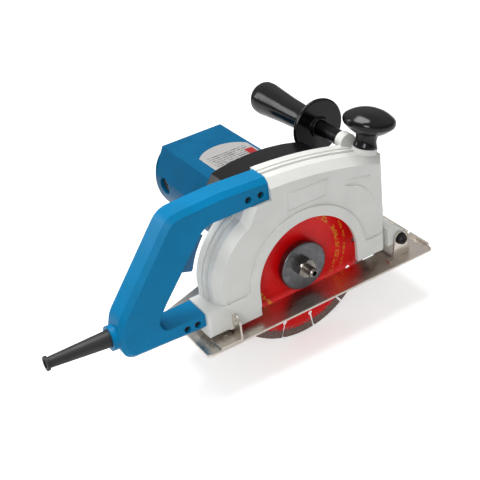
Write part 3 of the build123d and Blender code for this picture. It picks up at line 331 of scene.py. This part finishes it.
# ---------------------------------------------------------------- inside the motor
# Behind the end cover's slots sit the fan baffle, the laminated stator with its varnished
# copper coils, the armature on its bearings, and the carbon brushes in brass holders.

copper_wire = turned_metal("copper_wire", colour(176, 96, 52), 0.35, 0.5 * mm, 0.05 * mm)
lamination = turned_metal("lamination", colour(96, 96, 100), 0.5, 0.5 * mm, 0.03 * mm)
brass = turned_metal("brass", colour(206, 170, 96), 0.3)
carbon = grained("carbon", colour(32, 32, 34), colour(22, 22, 23), 0.6, 0.3 * mm, 0.01 * mm)
spring_steel = turned_metal("spring_steel", colour(188, 188, 186), 0.25)
bearing_steel = turned_metal("bearing_steel", colour(196, 198, 200), 0.16)
gear_steel = turned_metal("gear_steel", colour(150, 148, 142), 0.34)
commutator_copper = turned_metal("commutator_copper", colour(190, 112, 66), 0.22)
kept_nodes = {
    "fan_baffle": black_plastic,
    "stator": lamination,
    "field_coils": copper_wire,
    "brush_holders": brass,
    "carbon_brushes": carbon,
    "brush_springs": spring_steel,
    "spindle_front_bearing": bearing_steel,
    "spindle_rear_bearing": bearing_steel,
    "layshaft_front_bearing": bearing_steel,
    "layshaft_rear_bearing": bearing_steel,
    "armature_front_bearing": bearing_steel,
    "armature_rear_bearing": bearing_steel,
    "layshaft": gear_steel,
    "layshaft_gear": gear_steel,
    "spindle_gear": gear_steel,
    "armature_shaft": gear_steel,
    "armature_core": lamination,
    "armature_windings": copper_wire,
    "commutator": commutator_copper,
    "cooling_fan": black_plastic,
}
for node, material in kept_nodes.items():
    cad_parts[node].material_slots[0].material = material


# ---------------------------------------------------------------- blade and flanges
# The diamond blade is a red painted steel core with slots that end in round holes, and
# sintered segments on its rim. Two turned flanges and a hexagon nut clamp it.

blade_paint = finish("blade_paint", colour(228, 12, 16), 0.3, 0.0, Specular_IOR_Level=0.3)
start = Shade(blade_paint.node_tree)
place = start.node("ShaderNodeTexCoord", output="Object")
reach = start.node("ShaderNodeVectorMath", {"operation": "LENGTH"}, {0: place}, "Value")
worn = start.noise(3 * mm, 5.0)
paint_edge, core_edge = 76 * mm, 81 * mm
rub = reach.spread(paint_edge, core_edge) * worn.spread(0.45, 0.6)
mottled = start.noise(22 * mm).spread(0.3, 0.7).colours(colour(236, 14, 14), colour(214, 8, 16))
letters = start.noise(2.2 * mm, 1.0) > 0.52
large_print = (reach > 49 * mm) * (reach < 54 * mm)
small_print = (reach > 59 * mm) * (reach < 61.5 * mm)
stretches = start.noise(40 * mm, 0.0) > 0.5
printed = (large_print + small_print) * letters * stretches
ring_pitch = 1.2083 * mm
turns = reach * (2 * math.pi / ring_pitch)
rings = turns.maths("SINE", turns)
feed(
    blade_paint,
    Base_Color=printed.colours(rub.colours(mottled, colour(128, 116, 112)), colour(226, 140, 40)),
    Roughness=worn.spread(0.3, 0.7, 0.26, 0.38),
    Normal=rings.bump(0.0012 * mm),
)
softened("blade_core", 0.25 * mm, "blade_set", blade_paint, 1)

segment = finish("segment", colour(150, 124, 116), 0.75, 0.1)
start = Shade(segment.node_tree)
grit = start.node("ShaderNodeTexVoronoi", inputs={"Scale": 1 / (0.7 * mm)})
crumbs = start.noise(0.9 * mm, 4.0)
feed(
    segment,
    Base_Color=crumbs.spread(0.3, 0.7).colours(colour(168, 142, 132), colour(96, 80, 75)),
    Normal=(grit + crumbs).bump(0.35 * mm),
)


def first_lump(mesh):
    """Keeps only the first of a mesh's separate lumps."""
    work = bmesh.new()
    work.from_mesh(mesh)
    work.verts.ensure_lookup_table()
    reached = {work.verts[0]}
    edge_of_reach = [work.verts[0]]
    while edge_of_reach:
        for edge in edge_of_reach.pop().link_edges:
            for vertex in edge.verts:
                if vertex not in reached:
                    reached.add(vertex)
                    edge_of_reach.append(vertex)
    bmesh.ops.delete(work, geom=[v for v in work.verts if v not in reached], context="VERTS")
    work.to_mesh(mesh)
    work.free()
    return mesh


def ring_tree():
    """Geometry nodes that repeat a lump evenly round the blade's axis."""
    tree = bpy.data.node_groups.new("ring", "GeometryNodeTree")
    tree.is_modifier = True
    tree.interface.new_socket("Lump", in_out="INPUT", socket_type="NodeSocketGeometry")
    sizes = {"Count": "NodeSocketInt", "Step": "NodeSocketFloat", "Finish": "NodeSocketMaterial"}
    for name, kind in sizes.items():
        tree.interface.new_socket(name, in_out="INPUT", socket_type=kind)
    tree.interface.new_socket("Ring", in_out="OUTPUT", socket_type="NodeSocketGeometry")
    kinds = {
        "given": "NodeGroupInput",
        "points": "GeometryNodePoints",
        "index": "GeometryNodeInputIndex",
        "turn": "ShaderNodeMath",
        "rotation": "ShaderNodeCombineXYZ",
        "instances": "GeometryNodeInstanceOnPoints",
        "realized": "GeometryNodeRealizeInstances",
        "painted": "GeometryNodeSetMaterial",
        "made": "NodeGroupOutput",
    }
    node = {name: tree.nodes.new(kind) for name, kind in kinds.items()}
    node["turn"].operation = "MULTIPLY"
    links = (
        ("given", "Count", "points", "Count"),
        ("index", "Index", "turn", 0),
        ("given", "Step", "turn", 1),
        ("turn", 0, "rotation", "Y"),
        ("points", "Points", "instances", "Points"),
        ("given", "Lump", "instances", "Instance"),
        ("rotation", "Vector", "instances", "Rotation"),
        ("instances", "Instances", "realized", "Geometry"),
        ("realized", "Geometry", "painted", "Geometry"),
        ("given", "Finish", "painted", "Material"),
        ("painted", "Geometry", "made", "Ring"),
    )
    for source, output, target, entry in links:
        tree.links.new(node[source].outputs[output], node[target].inputs[entry])
    return tree


def ringed(mesh, count, material):
    """The mesh repeated count times round the blade's axis."""
    carrier = bpy.data.objects.new("ringed", mesh)
    bpy.context.scene.collection.objects.link(carrier)
    ring = carrier.modifiers.new("Ring", "NODES")
    ring.node_group = ring_tree()
    values = {"Count": count, "Step": 2 * math.pi / count, "Finish": material}
    for socket in ring.node_group.interface.items_tree:
        if socket.name in values:
            ring[socket.identifier] = values[socket.name]
    made = bpy.data.meshes.new_from_object(carrier.evaluated_get(bpy.context.evaluated_depsgraph_get()))
    bpy.data.objects.remove(carrier)
    return made


segment_count = 14
one_segment = first_lump(plain_copy("blade_segments"))
tidy_mesh(one_segment)
all_segments = ringed(rounded_mesh(one_segment, 0.4 * mm, 2), segment_count, segment)
segments = new_piece("blade_segments_finish", all_segments, "blade_set", segment)
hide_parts("blade_segments")

flange_steel = turned_metal("flange_steel", colour(112, 113, 116), 0.3)
softened("inner_flange", 0.4 * mm, "blade_set", flange_steel, 2)
softened("outer_flange", 0.6 * mm, "blade_set", flange_steel)
spindle_steel = turned_metal("spindle_steel", colour(150, 144, 138), 0.25)
softened("arbor_nut", 0.5 * mm, "blade_set", spindle_steel)
softened("spindle", 0.4 * mm, "blade_set", spindle_steel, 2)


# ---------------------------------------------------------------- handle
# The handle is two blue nylon shells screwed together round the switch and bolted to the
# case. The trigger swings on a steel pin in its inner edge, and the lock button is beside it.

# The handle's blue is painted lighter than the motor's, though both are one nylon: painted light that
# brightens its near face.
handle_blue_with_painted_light = colour(0, 118, 168)
handle_plastic_with_painted_light = grained("handle_plastic_with_painted_light", handle_blue_with_painted_light, colour(0, 112, 158), 0.3, 0.6 * mm, 0.01 * mm,
                         Specular_IOR_Level=0.12)
softened("handle_near_shell", 0.9 * mm, "machine", handle_plastic_with_painted_light)
softened("handle_far_shell", 0.9 * mm, "machine", handle_plastic_with_painted_light)
dark_screw = turned_metal("dark_screw", colour(58, 54, 56), 0.3)
softened("handle_screws", 0.3 * mm, "machine", dark_screw, 2)
blue_trigger = grained("blue_trigger", colour(0, 92, 138), colour(0, 86, 130), 0.4, 0.6 * mm, 0.01 * mm)
softened("trigger", 1.0 * mm, "trigger", blue_trigger)
gloss_black = finish("gloss_black", colour(9, 9, 10), 0.12, 0.0, Specular_IOR_Level=0.4)
start = Shade(gloss_black.node_tree)
haze = start.noise(14 * mm, 3.0)
feed(
    gloss_black,
    Base_Color=haze.spread(0.3, 0.7).colours(colour(10, 10, 11), colour(6, 6, 7)),
    Roughness=haze.spread(0.3, 0.7, 0.1, 0.2),
    Normal=start.noise(5 * mm, 2.0).bump(0.02 * mm),
)
softened("lock_button", 0.4 * mm, "lock_button", gloss_black, 2)
for node in ("trigger_pin", "trigger_spring", "lock_spring"):
    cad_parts[node].material_slots[0].material = spring_steel
for node in ("switch_body", "cord_clamp"):
    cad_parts[node].material_slots[0].material = black_plastic
rubber = grained("rubber", colour(34, 34, 35), colour(24, 24, 25), 0.5, 0.8 * mm, 0.02 * mm)
softened("cord_guard", 0.4 * mm, "machine", rubber, 2)


# ---------------------------------------------------------------- sole
# The sole is pressed from 2.5 mm steel and nickel plated to a bright, slightly brushed
# finish. Its two brackets are spot welded on, and it swings on the pivot bolt at the front.

nickel_plate = finish("nickel_plate", colour(206, 198, 188), 0.2, 1.0)
start = Shade(nickel_plate.node_tree)
cloud = start.noise(20 * mm, 4.0)
brushed = start.noise(0.6 * mm, 3.0, stretch=(0.04, 1, 1))
feed(
    nickel_plate,
    Base_Color=cloud.spread(0.3, 0.75).colours(colour(226, 218, 208), colour(204, 194, 184)),
    Roughness=(cloud + brushed).spread(0.7, 1.4, 0.24, 0.4),
    Normal=brushed.bump(0.006 * mm),
)
for node, body in (
    ("base_plate", "sole"),
    ("front_bracket", "sole"),
    ("rear_bracket", "sole"),
    ("depth_stay", "sole"),
):
    softened(node, 0.4 * mm, body, nickel_plate, 2)
softened("pivot_bolt", 0.4 * mm, "machine", dark_screw, 2)
softened("pivot_nut", 0.4 * mm, "machine", zinc_steel, 2)
softened("depth_bolt", 0.3 * mm, "machine", zinc_steel, 2)
softened("depth_washer", 0.2 * mm, "machine", zinc_steel, 2)
softened("depth_lever", 0.8 * mm, "depth_lever", black_plastic)


# ---------------------------------------------------------------- hand grips
# The front knob and the side handle are moulded in glossy black phenolic. The side handle
# turns on a black steel rod that screws into the boss of the case, behind its hand guard.

softened("front_knob", 0.5 * mm, "machine", gloss_black, 2)
softened("knob_stud", 0.3 * mm, "machine", zinc_steel, 2)
black_rod = turned_metal("black_rod", colour(44, 43, 44), 0.32)
softened("side_handle_rod", 0.4 * mm, "machine", black_rod, 2)
softened("side_handle_grip", 0.8 * mm, "machine", gloss_black)
softened("hand_guard", 0.6 * mm, "machine", gloss_black)


# ---------------------------------------------------------------- studio
# The saw stands with its blade just over a white sweep. Soft boxes hang over it and stand at
# its front left and back left, and the camera looks down from the front left.

floor_mesh = bpy.data.meshes.new("floor")
half = 4.0
floor_z = cad_low.z - 0.5 * mm
corners = [(-half, -half), (half, -half), (half, half), (-half, half)]
floor_mesh.from_pydata([(x, y, floor_z) for x, y in corners], [], [(0, 1, 2, 3)])
paper = finish("sweep_paper", (0.78, 0.78, 0.78, 1.0), 0.9, Emission_Color=(1.0, 1.0, 1.0, 1.0))
start = Shade(paper.node_tree)
feed(paper, Emission_Strength=start.node("ShaderNodeLightPath", output="Is Camera Ray") * 0.45)
floor_mesh.materials.append(paper)
floor = bpy.data.objects.new("floor", floor_mesh)
bpy.context.scene.collection.objects.link(floor)

world = bpy.data.worlds.new("studio")
world.use_nodes = True
sky = Shade(world.node_tree)
direction = sky.node("ShaderNodeTexCoord", output="Generated")
height = sky.node("ShaderNodeSeparateXYZ", inputs={0: direction}, output="Z")
seen = sky.node("ShaderNodeLightPath", output="Is Camera Ray")
room = height.spread(0.0, 0.6, 0.14, 0.5)
background = world.node_tree.nodes["Background"].inputs
world.node_tree.links.new((seen + (1 - seen) * room).socket, background["Strength"])
background["Color"].default_value = (1.0, 1.0, 1.0, 1.0)
bpy.context.scene.world = world
bpy.context.scene.view_settings.view_transform = "Standard"


def soft_light(name, place, aim, width, height, power):
    """A soft box that faces the aim point."""
    lamp = bpy.data.lights.new(name, "AREA")
    lamp.shape = "RECTANGLE"
    lamp.size = width
    lamp.size_y = height
    lamp.energy = power
    light = bpy.data.objects.new(name, lamp)
    bpy.context.scene.collection.objects.link(light)
    direction = Vector(aim) - Vector(place)
    light.matrix_world = Matrix.Translation(place) @ direction.to_track_quat("-Z", "Y").to_matrix().to_4x4()


soft_light("overhead", (-0.05, 0.2, 1.1), (0, 0.0, 0), 0.9, 0.6, 12)
soft_light("front_left", (-1.1, -1.2, 0.8), (0, 0, 0), 0.6, 0.8, 10)
soft_light("back_left", (-0.9, 1.2, 0.75), (0, 0, 0.05), 0.35, 0.9, 4)

azimuth = math.radians(-28.14)
elevation = math.radians(32.17)
roll = math.radians(-7.75)
back = Vector((math.sin(azimuth) * math.cos(elevation), -math.cos(azimuth) * math.cos(elevation),
               math.sin(elevation)))
level_right = Vector((math.cos(azimuth), math.sin(azimuth), 0))
level_up = back.cross(level_right)
right = level_right * math.cos(roll) + level_up * math.sin(roll)
up = level_up * math.cos(roll) - level_right * math.sin(roll)
lens = bpy.data.cameras.new("camera")
lens.sensor_width = 36
lens.lens = 75.83
lens.clip_start = 0.01
camera = bpy.data.objects.new("camera", lens)
bpy.context.scene.collection.objects.link(camera)
place = back * 1.0372 - right * 0.0579 + up * 0.0211
camera.matrix_world = Matrix.Translation(place) @ Matrix((right, up, back)).transposed().to_4x4()
bpy.context.scene.camera = camera
